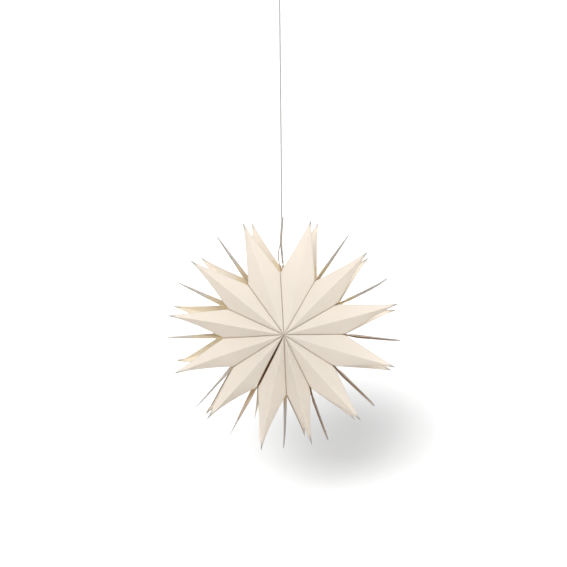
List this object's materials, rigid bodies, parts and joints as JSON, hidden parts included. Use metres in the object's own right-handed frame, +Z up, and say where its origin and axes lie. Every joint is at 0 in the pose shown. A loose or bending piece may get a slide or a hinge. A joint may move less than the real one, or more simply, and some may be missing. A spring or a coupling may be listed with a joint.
{
  "type": "hanging paper star",
  "caption": "Hanging star decoration of folded paper sleeves, glued side by side and fanned into a ring with front, back and middle points, on a cord that ends in a loop.",
  "frame": {"origin": "inside of the hanging loop's top, where a hook carries it", "axes": "+Z up along the cord, -Y out of the star's front, +X to the right as seen from the front"},
  "size_m": [0.3034, 0.095, 0.6234],
  "materials": {
    "star_paper": "matte uncoated",
    "cord_yarn": "matte twisted"
  },
  "bodies": {
    "root": {"paper_sleeve_01": "star_paper", "paper_sleeve_02": "star_paper", "paper_sleeve_03": "star_paper", "paper_sleeve_04": "star_paper", "paper_sleeve_05": "star_paper", "paper_sleeve_06": "star_paper", "paper_sleeve_07": "star_paper", "paper_sleeve_08": "star_paper", "paper_sleeve_09": "star_paper", "paper_sleeve_10": "star_paper", "paper_sleeve_11": "star_paper", "paper_sleeve_12": "star_paper", "hanging_cord": "cord_yarn"}
  },
  "joints": []
}
